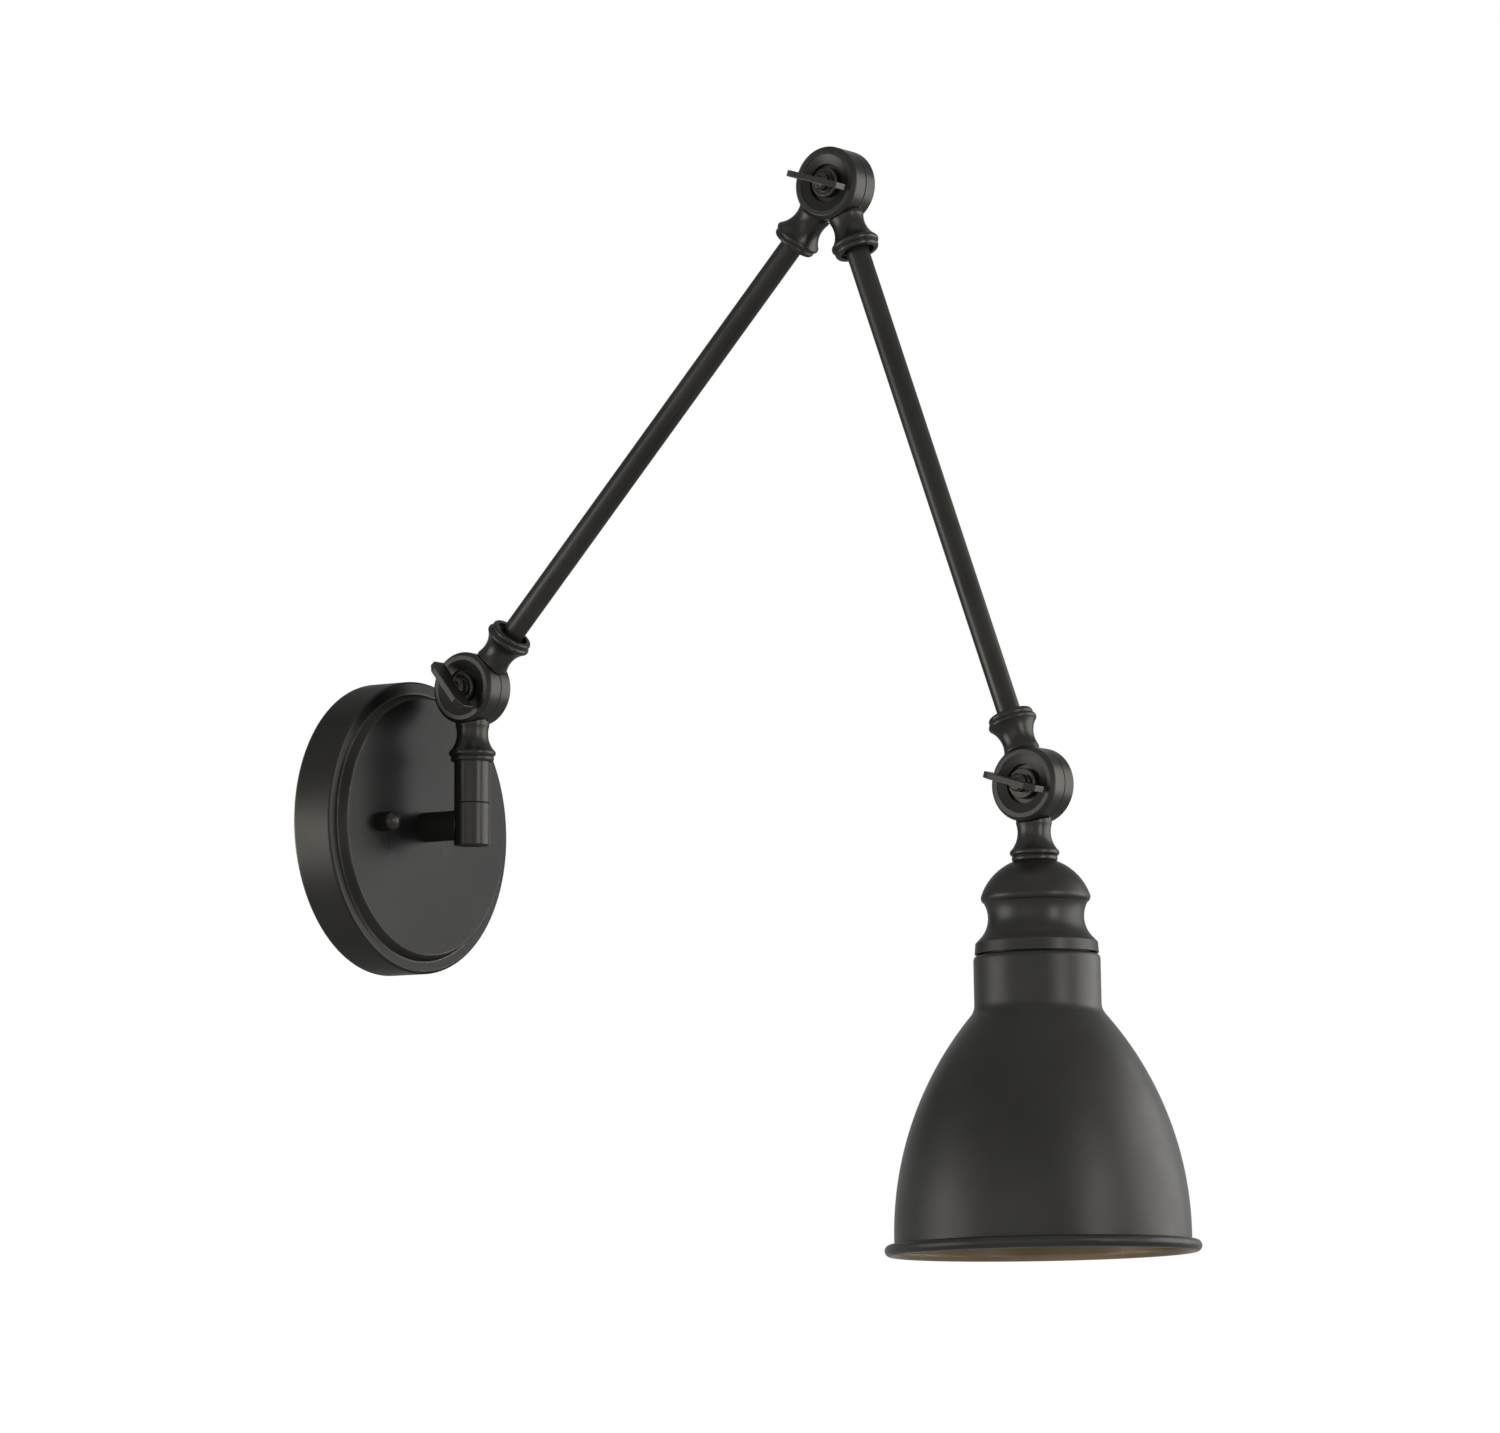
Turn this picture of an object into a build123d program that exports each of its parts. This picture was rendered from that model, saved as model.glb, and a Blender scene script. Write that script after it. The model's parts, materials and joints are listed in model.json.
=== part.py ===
from build123d import *
import os
from math import asin, cos, degrees, radians, sin, sqrt

# Swing arm wall sconce, in millimetres. The wall is the plane y = 0 and the origin is the plate's
# centre on it. The lamp reaches out along -Y, +Z is up, and every hinge axis runs along X.
# Each hinge is two half discs that meet at the plane of the arms, x = 0: the front half, on the
# thumbscrew's side, belongs to the piece nearer the wall and the rear half to the piece it carries.

# Pose at rest: degrees above the horizontal of a piece that points away from the wall
LOWER_ARM_ANGLE = 46.6
UPPER_ARM_ANGLE = -69.45
SHADE_ANGLE = -88.8
BASE_BLADE_ANGLE = -51.5
ELBOW_BLADE_ANGLE = -17.5
HEAD_BLADE_ANGLE = -16.5

# Travel from rest, in degrees: positive raises the piece, and the swing turns either way
SWING_TRAVEL = 85.0
BASE_TRAVEL = (-46.5, 43.4)
ELBOW_TRAVEL = (-7.0, 116.0)
HEAD_TRAVEL = (-90.0, 90.0)

# Clearances
FIT = 0.02
RUNNING_FIT = 0.05
FACE_GAP = 0.05
SPLIT_GAP = 0.3
SADDLE_GAP = 0.5
SCREW_HOLE_ROOM = 0.2
STOP_ROOM = 0.35
STOP_SPARE_ANGLE = 2.0
LEAD_ROOM = 0.3

# Wall plate, a stepped pan with an open back
PLATE_RADIUS = 69.85
PLATE_RIM_DEPTH = 21.0
PLATE_STEP_HEIGHT = 4.5
PLATE_WALL = 1.6
PLATE_EDGE_ROUND = 1.3
PLATE_LEDGE = 6.05
STEP_TAPER = 2.3
STEP_FOOT_ROUND = 0.4
STEP_EDGE_ROUND = 0.8

# Crossbar, studs and nuts that hold the plate
STUD_SPACING = 69.85
BOX_SLOT_STEP = 9.525
BOX_SLOT_LENGTH = 10.0
BOX_SLOT_WIDTH = 5.0
CROSSBAR_END = 5.55
CROSSBAR_WIDTH = 18.0
CROSSBAR_THICKNESS = 2.0
CROSSBAR_CORNER = 5.0
CROSSBAR_CENTRE_HOLE = 5.2
STUD_RADIUS = 2.08
STUD_TAIL_IN_NUT = 6.0
PLATE_STUD_HOLE = 2.6
LOCKNUT_FLATS = 8.7
LOCKNUT_HEIGHT = 3.2
BALL_NUT_RADIUS = 4.6
BALL_NUT_BARREL = 4.9
BALL_NUT_END_ROOM = 0.4
GROUND_SCREW_OFFSET = 18.0
GROUND_SCREW_RADIUS = 2.3
GROUND_HEAD_FLATS = 8.0
GROUND_HEAD_HEIGHT = 3.0
GROUND_WASHER_RADIUS = 5.2
GROUND_WASHER_HEIGHT = 1.0

# Stub between the plate and the post
STUB_RADIUS = 7.1
STUB_BORE_RADIUS = 3.3
STUB_THREAD_RADIUS = 4.8
STUB_THREAD_PAST_NUT = 2.0
STUB_WASHER_RADIUS = 9.0
STUB_WASHER_HEIGHT = 0.9
STUB_NUT_FLATS = 14.0
STUB_NUT_HEIGHT = 3.6

# Swivel post
POST_REACH = 52.2
POST_RADIUS = 8.6
LOWER_SLEEVE_DROP = 10.1
SWIVEL_SPLIT_HEIGHT = 10.0
SLEEVE_FOOT_CHAMFER = 0.4
SLEEVE_SPLIT_CHAMFER = 0.3
LOWER_SLEEVE_WEB = 5.0
UPPER_SLEEVE_WEB = 5.0
LOWER_CHAMBER_RADIUS = 6.4
UPPER_CHAMBER_RADIUS = 6.9
END_CAP_HEIGHT = 1.8
SPINDLE_RADIUS = 4.8
SPINDLE_BORE_RADIUS = 3.2
SPINDLE_PAST_NUT = 1.5
SWIVEL_WASHER_RADIUS = 6.5
SWIVEL_WASHER_HEIGHT = 1.0
RING_NUT_RADIUS = 6.4
RING_NUT_HEIGHT = 3.5
RING_NUT_SLOT_WIDTH = 1.6
RING_NUT_SLOT_DEPTH = 1.4
BASE_HINGE_HEIGHT = 64.5
POST_SPIGOT_LENGTH = 5.0

# Stop pins, the same in the swivel and in the hinges
STOP_PIN_RADIUS = 0.8
STOP_PIN_SEAT = 2.6
STOP_PIN_PROUD = 1.3
SWIVEL_STOP_RADIUS = 6.75
HINGE_STOP_RADIUS = 15.0
BASE_STOP_ANGLE = 180.0
ELBOW_STOP_ANGLE = 90.0
HEAD_STOP_ANGLE = 60.0

# Arms
ARM_LENGTH = 304.0
ARM_TUBE_RADIUS = 5.4
ARM_TUBE_WALL = 1.0
ARM_TUBE_SEAT = 24.0

# Half discs of a hinge: depths are from the mating plane
KNUCKLE_RADIUS = 17.05
KNUCKLE_FACE_CHAMFER = 0.25
FRONT_SIDE_DEPTH = 7.8
FRONT_RING_DEPTH = 9.4
FRONT_RING_RADIUS = 15.4
FRONT_SIDE_ROUND = 0.8
FRONT_RING_ROUND = 0.5
DISH_RADIUS = 13.3
DISH_LIP = 0.35
DISH_DEPTH = 1.5
DISH_MIDDLE_RADIUS = 11.2
DISH_MIDDLE_DEPTH = 0.95
RECESS_RADIUS = 8.9
RECESS_DEPTH = 1.6
REAR_DEPTH = 7.7
REAR_EDGE_ROUND = 0.7
CHAMBER_RADIUS = 13.0
CHAMBER_DEPTH = 3.5
CHAMBER_SLOT_OVERLAP = 1.0
BOSS_RADIUS = 5.4
FRICTION_WASHER_RADIUS = 5.2
FRICTION_WASHER_HEIGHT = 1.2

# Turned neck of a half: distances are from the hinge axis
NECK_ROOT = 12.0
NECK_SADDLE_RADIUS = 8.1
NECK_SADDLE_AT = 17.5
NECK_WAIST_RADIUS = 7.5
NECK_WAIST_AT = 21.8
NECK_FLARE_RADIUS = 10.5
NECK_FLARE_AT = 29.4
BEAD_RADIUS = 11.2
BEAD_AT = 30.8
GROOVE_RADIUS = 10.0
GROOVE_AT = 32.3
COLLAR_RADIUS = 10.35
COLLAR_AT = 33.5
COLLAR_END_RADIUS = 9.8
COLLAR_END = 34.65
COLLAR_RECESS_RADIUS = 7.9
COLLAR_RECESS_DEPTH = 2.4

# Thumbscrews
SCREW_RADIUS = 2.5
SCREW_TIP_INSET = 0.4
SCREW_TIP_CHAMFER = 0.4
FLANGE_RADIUS = 6.9
FLANGE_HEIGHT = 3.6
FLANGE_CHAMFER = 0.5
STEM_RADIUS = 4.2
STEM_END_RADIUS = 3.0
STEM_LENGTH = 4.6
BLADE_LENGTH = 28.6
BLADE_DEPTH = 10.6
BLADE_THICKNESS = 3.0
BLADE_START = 12.6
BLADE_CORNER_LENGTH = 4.4
BLADE_CORNER_DEPTH = 3.3
BLADE_EDGE_ROUND = 0.4

# Leads, a pair of insulated wires
LEAD_RADIUS = 1.1
LEAD_SPREAD = 1.15
LEAD_OFFSET = 1.9
LEAD_END = 11.5
LEAD_TAIL_OFFSET = 1.1
POST_LEAD_TAIL = 8.0
LAMP_LEAD_END = 50.0

# Socket cup: distances are from the head hinge along the shade's axis
CUP_WALL = 1.2
CUP_TOP_RADIUS = 9.9
CUP_DOME_RADIUS = 20.2
CUP_DOME_AT = 42.2
CUP_DOME_END_RADIUS = 24.5
CUP_DOME_END = 50.0
CUP_BULGE_RADIUS = 24.6
CUP_BULGE_AT = 51.4
CUP_CREASE_RADIUS = 23.3
CUP_CREASE_AT = 53.2
CUP_WAIST_RADIUS = 21.6
CUP_WAIST_AT = 60.0
CUP_FLARE_RADIUS = 24.75
CUP_FLARE_AT = 68.4
CUP_BAND_RADIUS = 27.5
CUP_BAND_AT = 71.3
CUP_END_RADIUS = 27.9
CUP_END = 76.1

# Shade
SHADE_TOP = 76.5
SHADE_WALL = 1.0
SHADE_NECK_RADIUS = 28.55
SHADE_SHOULDER_ROUND = 2.6
SHADE_NECK_BLEND = 7.5
SHADE_RIM_RADIUS = 66.45
SHADE_DOME_RADIUS = 153.0
SHADE_DOME_END = 202.5
RIM_BEAD_RADIUS = 2.7
RIM_BEAD_AT = 208.0

# Lampholder
NIPPLE_RADIUS = 4.8
NIPPLE_BORE_RADIUS = 3.3
NIPPLE_IN_HOLDER = 5.0
LAMP_NUT_FLATS = 14.0
LAMP_NUT_HEIGHT = 3.6
HOLDER_CROWN_RADIUS = 13.5
HOLDER_CROWN_HEIGHT = 5.0
HOLDER_RADIUS = 17.0
HOLDER_FLANGE_RADIUS = 24.0
HOLDER_FLANGE_HEIGHT = 4.4
HOLDER_SKIRT_RADIUS = 19.6
HOLDER_SKIRT_LENGTH = 19.5
HOLDER_CAVITY_RADIUS = 15.5
HOLDER_CAVITY_TOP = 60.0
HOLDER_WIRE_RADIUS = 3.2
HOLDER_RECESS_RADIUS = 7.0
HOLDER_RECESS_DEPTH = 4.6
SHELL_RADIUS = 13.3
SHELL_WALL = 0.6
SHELL_LENGTH = 30.0
CONTACT_WIDTH = 5.0
CONTACT_THICKNESS = 0.6
CONTACT_FOOT = 5.5
CONTACT_TIP = 1.5
CONTACT_RISE = 3.6
TERMINAL_AT = 53.0
TERMINAL_RADIUS = 1.7
TERMINAL_LENGTH = 6.0
TERMINAL_HEAD_RADIUS = 3.3
TERMINAL_HEAD_HEIGHT = 1.8
SHADE_RING_RADIUS = 25.5
SHADE_RING_HEIGHT = 4.6
SHADE_RING_EDGE = 1.0

# What follows from the sizes above
HALF_GAP = SPLIT_GAP / 2
PLATE_DEPTH = PLATE_RIM_DEPTH + PLATE_STEP_HEIGHT
PLATE_INSIDE = PLATE_DEPTH - PLATE_WALL
STEP_FOOT_RADIUS = PLATE_RADIUS - PLATE_LEDGE
STEP_FACE_RADIUS = STEP_FOOT_RADIUS - STEP_TAPER
BOX_SLOT_SPACING = STUD_SPACING + 2 * BOX_SLOT_STEP
CROSSBAR_LENGTH = BOX_SLOT_SPACING + BOX_SLOT_LENGTH + 2 * CROSSBAR_END
STUB_NUT_BACK = PLATE_INSIDE - STUB_WASHER_HEIGHT - STUB_NUT_HEIGHT
UPPER_SLEEVE_START = SWIVEL_SPLIT_HEIGHT + FACE_GAP
UPPER_SLEEVE_END = BASE_HINGE_HEIGHT - COLLAR_END
SWIVEL_WASHER_START = UPPER_SLEEVE_START + UPPER_SLEEVE_WEB + FACE_GAP
RING_NUT_START = SWIVEL_WASHER_START + SWIVEL_WASHER_HEIGHT
RING_NUT_END = RING_NUT_START + RING_NUT_HEIGHT
RECESS_FLOOR = FRONT_RING_DEPTH - DISH_DEPTH - RECESS_DEPTH
LAMP_NUT_START = COLLAR_END + CUP_WALL
HOLDER_TOP = LAMP_NUT_START + LAMP_NUT_HEIGHT
CONTACT_FLOOR = HOLDER_CAVITY_TOP - HOLDER_RECESS_DEPTH
SHADE_RING_START = SHADE_TOP + SHADE_WALL
FRONT = Vector(-1, 0, 0)
REAR = Vector(1, 0, 0)
RAISING = Vector(-1, 0, 0)


def outward(angle):
    """The direction that points away from the wall at an angle above the horizontal."""
    return Vector(0, -cos(radians(angle)), sin(radians(angle)))


BASE_HINGE = Vector(0, -POST_REACH, BASE_HINGE_HEIGHT)
ELBOW_HINGE = BASE_HINGE + outward(LOWER_ARM_ANGLE) * ARM_LENGTH
HEAD_HINGE = ELBOW_HINGE + outward(UPPER_ARM_ANGLE) * ARM_LENGTH

# Frames: Z runs out of the wall, up the post, and along each neck, arm and the shade
WALL = Plane((0, 0, 0), x_dir=(1, 0, 0), z_dir=(0, -1, 0))
POST = Plane((0, -POST_REACH, 0))
POST_NECK = Plane(BASE_HINGE, x_dir=FRONT, z_dir=(0, 0, -1))
LOWER_ARM = Plane(BASE_HINGE, x_dir=REAR, z_dir=outward(LOWER_ARM_ANGLE))
LOWER_ARM_END = Plane(ELBOW_HINGE, x_dir=FRONT, z_dir=-outward(LOWER_ARM_ANGLE))
UPPER_ARM = Plane(ELBOW_HINGE, x_dir=REAR, z_dir=outward(UPPER_ARM_ANGLE))
UPPER_ARM_END = Plane(HEAD_HINGE, x_dir=FRONT, z_dir=-outward(UPPER_ARM_ANGLE))
SHADE_AXIS = Plane(HEAD_HINGE, x_dir=REAR, z_dir=outward(SHADE_ANGLE))


def section(frame):
    """The plane for half profiles of a turned piece: X is the radius, Y runs along the frame's Z."""
    return Plane(frame.origin, x_dir=frame.x_dir, z_dir=-frame.y_dir)


def turning_axis(frame):
    return Axis(frame.origin, frame.z_dir)


def finish(name, piece):
    piece.part.label = name
    export_step(piece.part, f"parts/{name}.step")


def tube(frame, outer_radius, inner_radius, start, end):
    """A tube, sleeve or washer along a frame's Z."""
    with BuildPart() as piece:
        with BuildSketch(frame.offset(start)):
            Circle(outer_radius)
            Circle(inner_radius, mode=Mode.SUBTRACT)
        extrude(amount=end - start)
    return piece


def hex_nut(frame, flats, bore_radius, start, height):
    with BuildPart() as piece:
        with BuildSketch(frame.offset(start)):
            RegularPolygon(flats / 2, 6, major_radius=False)
            Circle(bore_radius, mode=Mode.SUBTRACT)
        extrude(amount=height)
    return piece


def lead_pair(start, end, spread):
    """Two straight wires side by side from one point to another."""
    run = end - start
    with BuildPart() as pair:
        for side in (-1, 1):
            with BuildSketch(Plane(start + spread * (side * LEAD_SPREAD), z_dir=run)):
                Circle(LEAD_RADIUS)
            extrude(amount=run.length)
    return pair


def stop_margin(radius):
    """How far a stop's groove runs past the travel at either end, in degrees."""
    return degrees(asin(STOP_PIN_RADIUS / radius)) + STOP_SPARE_ANGLE


def stop_pin(base, direction):
    """A dowel from its seat to its proud end, with the face that it stands in at base."""
    with BuildPart() as pin:
        with BuildSketch(Plane(base - direction * STOP_PIN_SEAT, z_dir=direction)):
            Circle(STOP_PIN_RADIUS)
        extrude(amount=STOP_PIN_SEAT + STOP_PIN_PROUD)
    return pin


def knuckle_half(frame, stop_angle, travel, socket_radius, recess=False, spigot_length=0.0):
    """One half of a hinge. The frame's X points out of the mating plane and its Z along the neck."""
    is_front = frame.x_dir == FRONT
    side_depth = FRONT_SIDE_DEPTH if is_front else REAR_DEPTH
    across = section(frame)
    disc = Plane(frame.origin, x_dir=frame.z_dir, z_dir=frame.x_dir)
    hinge_axis = Axis(frame.origin, frame.x_dir)
    with BuildPart() as half:
        # Neck, turned from the saddle to the collar
        with BuildSketch(across):
            with BuildLine():
                cove = ThreePointArc(
                    (NECK_SADDLE_RADIUS, NECK_SADDLE_AT),
                    (NECK_WAIST_RADIUS, NECK_WAIST_AT),
                    (NECK_FLARE_RADIUS, NECK_FLARE_AT),
                )
                bead = ThreePointArc(cove @ 1, (BEAD_RADIUS, BEAD_AT), (GROOVE_RADIUS, GROOVE_AT))
                ring = ThreePointArc(
                    bead @ 1, (COLLAR_RADIUS, COLLAR_AT), (COLLAR_END_RADIUS, COLLAR_END)
                )
                Polyline(
                    ring @ 1,
                    (0, COLLAR_END),
                    (0, NECK_ROOT),
                    (NECK_SADDLE_RADIUS, NECK_ROOT),
                    cove @ 0,
                )
            make_face()
        revolve(axis=turning_axis(frame))
        # Saddles: one leaves room for the other half's rim, one ends on this half's own rim
        with BuildSketch(disc.offset(HALF_GAP)):
            Circle(KNUCKLE_RADIUS + SADDLE_GAP)
        extrude(amount=-2 * BEAD_RADIUS, mode=Mode.SUBTRACT)
        with BuildSketch(disc.offset(side_depth)):
            Circle(KNUCKLE_RADIUS)
        extrude(amount=BEAD_RADIUS, mode=Mode.SUBTRACT)
        # Half disc, turned about the hinge axis
        with BuildSketch(across):
            with BuildLine():
                start = (HALF_GAP, KNUCKLE_RADIUS - KNUCKLE_FACE_CHAMFER)
                rim = (HALF_GAP + KNUCKLE_FACE_CHAMFER, KNUCKLE_RADIUS)
                if is_front:
                    FilletPolyline(
                        (HALF_GAP, 0),
                        start,
                        rim,
                        (FRONT_SIDE_DEPTH, KNUCKLE_RADIUS),
                        (FRONT_RING_DEPTH, FRONT_RING_RADIUS),
                        (FRONT_RING_DEPTH, DISH_RADIUS),
                        (FRONT_RING_DEPTH - DISH_LIP, DISH_RADIUS),
                        radius=[0, 0, FRONT_SIDE_ROUND, FRONT_RING_ROUND, 0],
                    )
                    dish = ThreePointArc(
                        (FRONT_RING_DEPTH - DISH_LIP, DISH_RADIUS),
                        (FRONT_RING_DEPTH - DISH_MIDDLE_DEPTH, DISH_MIDDLE_RADIUS),
                        (FRONT_RING_DEPTH - DISH_DEPTH, RECESS_RADIUS),
                    )
                    Polyline(
                        dish @ 1,
                        (RECESS_FLOOR, RECESS_RADIUS),
                        (RECESS_FLOOR, 0),
                        (HALF_GAP, 0),
                    )
                else:
                    FilletPolyline(
                        (HALF_GAP, 0),
                        start,
                        rim,
                        (REAR_DEPTH, KNUCKLE_RADIUS),
                        (REAR_DEPTH, 0),
                        radius=[0, 0, REAR_EDGE_ROUND],
                    )
                    Line((REAR_DEPTH, 0), (HALF_GAP, 0))
            make_face()
        revolve(axis=hinge_axis)
        # Chamber for the leads, the seat of the friction washer and the thumbscrew's hole
        with BuildSketch(disc.offset(HALF_GAP)):
            Circle(CHAMBER_RADIUS)
            Circle(BOSS_RADIUS, mode=Mode.SUBTRACT)
        extrude(amount=CHAMBER_DEPTH - HALF_GAP, mode=Mode.SUBTRACT)
        with BuildSketch(disc.offset(HALF_GAP)):
            Circle(BOSS_RADIUS)
        extrude(amount=FRICTION_WASHER_HEIGHT / 2 + FACE_GAP - HALF_GAP, mode=Mode.SUBTRACT)
        with BuildSketch(disc):
            Circle(SCREW_RADIUS + (SCREW_HOLE_ROOM if is_front else RUNNING_FIT))
        extrude(amount=FRONT_RING_DEPTH, mode=Mode.SUBTRACT)
        # Stop: a hole for the pin in the front half, a groove for its travel in the rear half
        if is_front:
            pin_base = frame.origin + outward(stop_angle) * HINGE_STOP_RADIUS + FRONT * HALF_GAP
            with BuildSketch(Plane(pin_base, z_dir=FRONT)):
                Circle(STOP_PIN_RADIUS + FIT)
            extrude(amount=STOP_PIN_SEAT + FIT, mode=Mode.SUBTRACT)
        else:
            spare = stop_margin(HINGE_STOP_RADIUS)
            first = outward(stop_angle - travel[1] - spare)
            with BuildSketch(Plane(frame.origin, x_dir=REAR, z_dir=REAR.cross(first))):
                with Locations((HALF_GAP, HINGE_STOP_RADIUS)):
                    Rectangle(
                        STOP_PIN_PROUD - SPLIT_GAP + STOP_ROOM,
                        2 * (STOP_PIN_RADIUS + STOP_ROOM),
                        align=(Align.MIN, Align.CENTER),
                    )
            revolve(
                axis=Axis(frame.origin, RAISING),
                revolution_arc=travel[1] - travel[0] + 2 * spare,
                mode=Mode.SUBTRACT,
            )
        # Socket for the tube, nipple or leads, and the slot that takes the leads into the chamber
        if spigot_length:
            with BuildSketch(frame.offset(COLLAR_END)):
                Circle(UPPER_CHAMBER_RADIUS - FIT)
            extrude(amount=spigot_length)
        with BuildSketch(frame.offset(ARM_TUBE_SEAT)):
            Circle(socket_radius)
        extrude(amount=COLLAR_END + spigot_length - ARM_TUBE_SEAT, mode=Mode.SUBTRACT)
        if recess:
            with BuildSketch(frame.offset(COLLAR_END - COLLAR_RECESS_DEPTH)):
                Circle(COLLAR_RECESS_RADIUS)
            extrude(amount=COLLAR_RECESS_DEPTH, mode=Mode.SUBTRACT)
        with BuildSketch(frame.offset(ARM_TUBE_SEAT)):
            with Locations((LEAD_OFFSET, 0)):
                SlotOverall(
                    2 * (LEAD_SPREAD + LEAD_RADIUS + LEAD_ROOM),
                    2 * (LEAD_RADIUS + LEAD_ROOM),
                    rotation=90,
                )
        extrude(
            amount=CHAMBER_RADIUS - CHAMBER_SLOT_OVERLAP - ARM_TUBE_SEAT, mode=Mode.SUBTRACT
        )
    return half


def thumbscrew(frame, blade_angle):
    """A thumbscrew in the front half's frame: stud, flange, stem and a flat blade across its end."""
    along = outward(blade_angle)
    tip = SCREW_TIP_INSET - REAR_DEPTH
    flange_base = RECESS_FLOOR + FACE_GAP
    flange_top = flange_base + FLANGE_HEIGHT
    stem_end = flange_top + STEM_LENGTH
    half_length = BLADE_LENGTH / 2
    blade_end = BLADE_START + BLADE_DEPTH
    with BuildPart() as blade:
        with BuildSketch(Plane(frame.origin, x_dir=along, z_dir=along.cross(frame.x_dir))):
            with BuildLine():
                Polyline(
                    (-half_length, BLADE_START),
                    (half_length, BLADE_START),
                    (half_length, blade_end - BLADE_CORNER_DEPTH),
                    (half_length - BLADE_CORNER_LENGTH, blade_end),
                    (BLADE_CORNER_LENGTH - half_length, blade_end),
                    (-half_length, blade_end - BLADE_CORNER_DEPTH),
                    close=True,
                )
            make_face()
        extrude(amount=BLADE_THICKNESS / 2, both=True)
        fillet(blade.edges(), radius=BLADE_EDGE_ROUND)
    with BuildPart() as screw:
        with BuildSketch(section(frame)):
            with BuildLine():
                Polyline(
                    (tip, 0),
                    (tip, SCREW_RADIUS - SCREW_TIP_CHAMFER),
                    (tip + SCREW_TIP_CHAMFER, SCREW_RADIUS),
                    (flange_base, SCREW_RADIUS),
                    (flange_base, FLANGE_RADIUS),
                    (flange_top - FLANGE_CHAMFER, FLANGE_RADIUS),
                    (flange_top, FLANGE_RADIUS - FLANGE_CHAMFER),
                    (flange_top, STEM_RADIUS),
                    (stem_end - STEM_RADIUS + STEM_END_RADIUS, STEM_RADIUS),
                    (stem_end, STEM_END_RADIUS),
                    (stem_end, 0),
                    close=True,
                )
            make_face()
        revolve(axis=Axis(frame.origin, frame.x_dir))
        add(blade.part)
    return screw


os.makedirs("parts", exist_ok=True)

# Wall plate
with BuildPart() as wall_plate:
    with BuildSketch(section(WALL)):
        with BuildLine():
            FilletPolyline(
                (PLATE_RADIUS, 0),
                (PLATE_RADIUS, PLATE_RIM_DEPTH),
                (STEP_FOOT_RADIUS, PLATE_RIM_DEPTH),
                (STEP_FACE_RADIUS, PLATE_DEPTH),
                (0, PLATE_DEPTH),
                radius=[PLATE_EDGE_ROUND, STEP_FOOT_ROUND, STEP_EDGE_ROUND],
            )
            Polyline(
                (0, PLATE_DEPTH),
                (0, PLATE_INSIDE),
                (STEP_FACE_RADIUS - PLATE_WALL, PLATE_INSIDE),
                (STEP_FOOT_RADIUS - PLATE_WALL, PLATE_RIM_DEPTH - PLATE_WALL),
                (PLATE_RADIUS - PLATE_WALL, PLATE_RIM_DEPTH - PLATE_WALL),
                (PLATE_RADIUS - PLATE_WALL, 0),
                (PLATE_RADIUS, 0),
            )
        make_face()
    revolve(axis=turning_axis(WALL))
    with BuildSketch(WALL):
        Circle(STUB_THREAD_RADIUS + SCREW_HOLE_ROOM)
        with GridLocations(STUD_SPACING, 0, 2, 1):
            Circle(PLATE_STUD_HOLE)
    extrude(amount=PLATE_DEPTH, mode=Mode.SUBTRACT)
finish("wall_plate", wall_plate)

# Crossbar with its studs, locknuts, ball nuts and ground screw
with BuildPart() as mounting_crossbar:
    with BuildSketch(WALL):
        RectangleRounded(CROSSBAR_LENGTH, CROSSBAR_WIDTH, CROSSBAR_CORNER)
        Circle(CROSSBAR_CENTRE_HOLE, mode=Mode.SUBTRACT)
        with GridLocations(STUD_SPACING, 0, 2, 1):
            Circle(STUD_RADIUS + FIT, mode=Mode.SUBTRACT)
        with GridLocations(BOX_SLOT_SPACING, 0, 2, 1):
            SlotOverall(BOX_SLOT_LENGTH, BOX_SLOT_WIDTH, mode=Mode.SUBTRACT)
        with Locations((GROUND_SCREW_OFFSET, 0)):
            Circle(GROUND_SCREW_RADIUS + FIT, mode=Mode.SUBTRACT)
    extrude(amount=CROSSBAR_THICKNESS)
finish("mounting_crossbar", mounting_crossbar)

with BuildPart() as mounting_studs:
    with BuildSketch(WALL):
        with GridLocations(STUD_SPACING, 0, 2, 1):
            Circle(STUD_RADIUS)
    extrude(amount=PLATE_DEPTH + STUD_TAIL_IN_NUT)
finish("mounting_studs", mounting_studs)

with BuildPart() as stud_locknuts:
    with BuildSketch(WALL.offset(CROSSBAR_THICKNESS)):
        with GridLocations(STUD_SPACING, 0, 2, 1):
            RegularPolygon(LOCKNUT_FLATS / 2, 6, major_radius=False)
            Circle(STUD_RADIUS + FIT, mode=Mode.SUBTRACT)
    extrude(amount=LOCKNUT_HEIGHT)
finish("stud_locknuts", stud_locknuts)

with BuildPart() as ball_nuts:
    for side in (-1, 1):
        stud = Plane((side * STUD_SPACING / 2, 0, 0), x_dir=WALL.x_dir, z_dir=WALL.z_dir)
        barrel_end = PLATE_DEPTH + BALL_NUT_BARREL
        bore_end = PLATE_DEPTH + STUD_TAIL_IN_NUT + BALL_NUT_END_ROOM
        with BuildSketch(section(stud)):
            with BuildLine():
                ball = CenterArc((0, barrel_end), BALL_NUT_RADIUS, 0, 90)
                Polyline(
                    ball @ 1,
                    (0, bore_end),
                    (STUD_RADIUS + FIT, bore_end),
                    (STUD_RADIUS + FIT, PLATE_DEPTH),
                    (BALL_NUT_RADIUS, PLATE_DEPTH),
                    ball @ 0,
                )
            make_face()
        revolve(axis=turning_axis(stud))
finish("ball_nuts", ball_nuts)

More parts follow.
